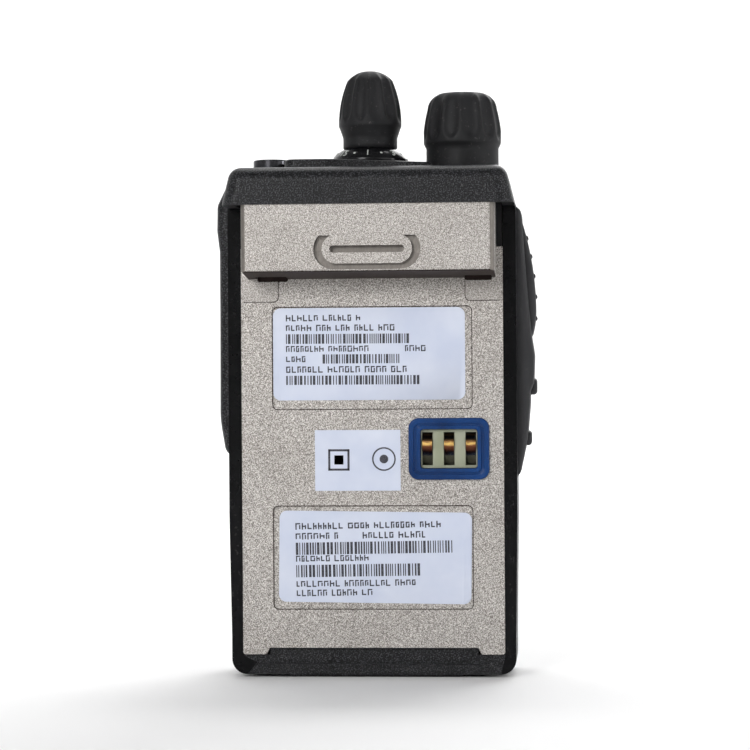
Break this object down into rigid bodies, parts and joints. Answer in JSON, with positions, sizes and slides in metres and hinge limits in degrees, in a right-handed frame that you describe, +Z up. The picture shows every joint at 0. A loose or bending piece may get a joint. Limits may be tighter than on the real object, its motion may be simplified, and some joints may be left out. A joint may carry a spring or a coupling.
{
  "type": "two way radio",
  "caption": "Compact two way radio with its battery pack and antenna off: cast chassis behind a moulded housing, two knobs, talk button, keypad and display.",
  "frame": {"origin": "centre of the standing face at the bottom of the housing, on the mid plane of the radio's full depth", "axes": "+Z up towards the knobs, -Y out of the front with the speaker and keypad, +Y out of the back with the battery contacts, +X towards the accessory connector side"},
  "size_m": [0.0632, 0.0308, 0.1198],
  "materials": {
    "housing_plastic": "textured black",
    "grip_rubber": "matte black",
    "cover_plastic": "satin black",
    "knob_rubber": "matte black",
    "skirt_plastic": "gloss black with pale marks",
    "cast_metal": "shot blasted",
    "blue_seal": "satin",
    "ivory_plastic": "satin",
    "contact_gold": "plated",
    "label_paper": "satin film",
    "black_metal": "gloss black",
    "steel": "plated",
    "magnet_metal": "plated",
    "circuit_board": "green solder mask",
    "ribbon_film": "amber film",
    "speaker_cloth": "fine black felt",
    "cone_paper": "matte",
    "window_glass": "clear",
    "display_panel": "grey green panel",
    "key_plastic": "satin dark grey",
    "button_orange": "satin",
    "led_lens": "frosted"
  },
  "bodies": {
    "radio": {"front_housing": "housing_plastic", "ptt_bezel": "grip_rubber", "microphone_boot": "grip_rubber", "main_seal": "grip_rubber", "keypad_membrane": "grip_rubber", "chassis": "cast_metal", "contact_seal": "blue_seal", "contact_block": "ivory_plastic", "accessory_contacts": "contact_gold", "antenna_contact": "contact_gold", "label_upper": "label_paper", "label_middle": "label_paper", "label_lower": "label_paper", "antenna_socket": "black_metal", "speaker_bracket": "steel", "board_screws": "steel", "keypad_domes": "steel", "shield_cans": "steel", "speaker_frame": "steel", "speaker_magnet": "magnet_metal", "microphone": "magnet_metal", "channel_switch": "magnet_metal", "volume_switch": "magnet_metal", "main_board": "circuit_board", "keypad_board": "circuit_board", "side_switch_board": "circuit_board", "ribbon_cable": "ribbon_film", "speaker_felt": "speaker_cloth", "speaker_cone": "cone_paper", "display_window": "window_glass", "display_module": "display_panel", "led_light_pipe": "led_lens"},
    "channel_selector": {"channel_shaft": "steel", "channel_knob": "knob_rubber", "channel_skirt": "skirt_plastic"},
    "volume_control": {"volume_shaft": "steel", "volume_knob": "knob_rubber"},
    "talk_button": {"ptt_button": "grip_rubber"},
    "upper_side_button": {"side_button_upper": "grip_rubber"},
    "lower_side_button": {"side_button_lower": "grip_rubber"},
    "emergency_button": {"top_button": "button_orange"},
    "spring_contacts": {"battery_contacts": "contact_gold"},
    "connector_cover": {"accessory_cover": "cover_plastic"},
    "cover_screw": {"accessory_screw": "black_metal"},
    "key_star_cap": {"key_star": "key_plastic"},
    "key_0_cap": {"key_0": "key_plastic"},
    "key_hash_cap": {"key_hash": "key_plastic"},
    "key_7_cap": {"key_7": "key_plastic"},
    "key_8_cap": {"key_8": "key_plastic"},
    "key_9_cap": {"key_9": "key_plastic"},
    "key_4_cap": {"key_4": "key_plastic"},
    "key_5_cap": {"key_5": "key_plastic"},
    "key_6_cap": {"key_6": "key_plastic"},
    "key_1_cap": {"key_1": "key_plastic"},
    "key_2_cap": {"key_2": "key_plastic"},
    "key_3_cap": {"key_3": "key_plastic"},
    "function_key_1_cap": {"function_key_1": "key_plastic"},
    "function_key_2_cap": {"function_key_2": "key_plastic"},
    "function_key_3_cap": {"function_key_3": "key_plastic"},
    "function_key_4_cap": {"function_key_4": "key_plastic"}
  },
  "joints": [
    {"name": "channel_turn", "type": "hinge", "parent": "radio", "child": "channel_selector", "pos_m": [0.0008, -0.006, 0.10125], "axis": [0, 0, 1], "range_deg": [0, 337.5]},
    {"name": "volume_turn", "type": "hinge", "parent": "radio", "child": "volume_control", "pos_m": [-0.0176, -0.006, 0.0994], "axis": [0, 0, 1], "range_deg": [0, 280]},
    {"name": "talk_press", "type": "slide", "parent": "radio", "child": "talk_button", "axis": [1, 0, 0], "range_m": [0, 0.001], "stiffness_N_per_m": 1200, "springref_m": -0.0006},
    {"name": "upper_side_press", "type": "slide", "parent": "radio", "child": "upper_side_button", "axis": [1, 0, 0], "range_m": [0, 0.0006], "stiffness_N_per_m": 1200, "springref_m": -0.0003},
    {"name": "lower_side_press", "type": "slide", "parent": "radio", "child": "lower_side_button", "axis": [1, 0, 0], "range_m": [0, 0.0006], "stiffness_N_per_m": 1200, "springref_m": -0.0003},
    {"name": "emergency_press", "type": "slide", "parent": "radio", "child": "emergency_button", "axis": [0, 0, -1], "range_m": [0, 0.0008], "stiffness_N_per_m": 1200, "springref_m": -0.0003},
    {"name": "contact_press", "type": "slide", "parent": "radio", "child": "spring_contacts", "axis": [0, -1, 0], "range_m": [0, 0.0009], "stiffness_N_per_m": 900, "springref_m": -0.0003},
    {"name": "cover_off", "type": "slide", "parent": "radio", "child": "connector_cover", "axis": [1, 0, 0], "range_m": [0, 0.012]},
    {"name": "cover_screw_turn", "type": "hinge", "parent": "connector_cover", "child": "cover_screw", "pos_m": [0.03, -0.005, 0.0894], "axis": [1, 0, 0], "range_deg": [0, 1890]},
    {"name": "number_star_press", "type": "slide", "parent": "radio", "child": "key_star_cap", "axis": [0, 1, 0], "range_m": [0, 0.0005], "stiffness_N_per_m": 1000, "springref_m": -0.0003},
    {"name": "number_0_press", "type": "slide", "parent": "radio", "child": "key_0_cap", "axis": [0, 1, 0], "range_m": [0, 0.0005], "stiffness_N_per_m": 1000, "springref_m": -0.0003},
    {"name": "number_hash_press", "type": "slide", "parent": "radio", "child": "key_hash_cap", "axis": [0, 1, 0], "range_m": [0, 0.0005], "stiffness_N_per_m": 1000, "springref_m": -0.0003},
    {"name": "number_7_press", "type": "slide", "parent": "radio", "child": "key_7_cap", "axis": [0, 1, 0], "range_m": [0, 0.0005], "stiffness_N_per_m": 1000, "springref_m": -0.0003},
    {"name": "number_8_press", "type": "slide", "parent": "radio", "child": "key_8_cap", "axis": [0, 1, 0], "range_m": [0, 0.0005], "stiffness_N_per_m": 1000, "springref_m": -0.0003},
    {"name": "number_9_press", "type": "slide", "parent": "radio", "child": "key_9_cap", "axis": [0, 1, 0], "range_m": [0, 0.0005], "stiffness_N_per_m": 1000, "springref_m": -0.0003},
    {"name": "number_4_press", "type": "slide", "parent": "radio", "child": "key_4_cap", "axis": [0, 1, 0], "range_m": [0, 0.0005], "stiffness_N_per_m": 1000, "springref_m": -0.0003},
    {"name": "number_5_press", "type": "slide", "parent": "radio", "child": "key_5_cap", "axis": [0, 1, 0], "range_m": [0, 0.0005], "stiffness_N_per_m": 1000, "springref_m": -0.0003},
    {"name": "number_6_press", "type": "slide", "parent": "radio", "child": "key_6_cap", "axis": [0, 1, 0], "range_m": [0, 0.0005], "stiffness_N_per_m": 1000, "springref_m": -0.0003},
    {"name": "number_1_press", "type": "slide", "parent": "radio", "child": "key_1_cap", "axis": [0, 1, 0], "range_m": [0, 0.0005], "stiffness_N_per_m": 1000, "springref_m": -0.0003},
    {"name": "number_2_press", "type": "slide", "parent": "radio", "child": "key_2_cap", "axis": [0, 1, 0], "range_m": [0, 0.0005], "stiffness_N_per_m": 1000, "springref_m": -0.0003},
    {"name": "number_3_press", "type": "slide", "parent": "radio", "child": "key_3_cap", "axis": [0, 1, 0], "range_m": [0, 0.0005], "stiffness_N_per_m": 1000, "springref_m": -0.0003},
    {"name": "function_1_press", "type": "slide", "parent": "radio", "child": "function_key_1_cap", "axis": [0, 1, 0], "range_m": [0, 0.0005], "stiffness_N_per_m": 1000, "springref_m": -0.0003},
    {"name": "function_2_press", "type": "slide", "parent": "radio", "child": "function_key_2_cap", "axis": [0, 1, 0], "range_m": [0, 0.0005], "stiffness_N_per_m": 1000, "springref_m": -0.0003},
    {"name": "function_3_press", "type": "slide", "parent": "radio", "child": "function_key_3_cap", "axis": [0, 1, 0], "range_m": [0, 0.0005], "stiffness_N_per_m": 1000, "springref_m": -0.0003},
    {"name": "function_4_press", "type": "slide", "parent": "radio", "child": "function_key_4_cap", "axis": [0, 1, 0], "range_m": [0, 0.0005], "stiffness_N_per_m": 1000, "springref_m": -0.0003}
  ]
}
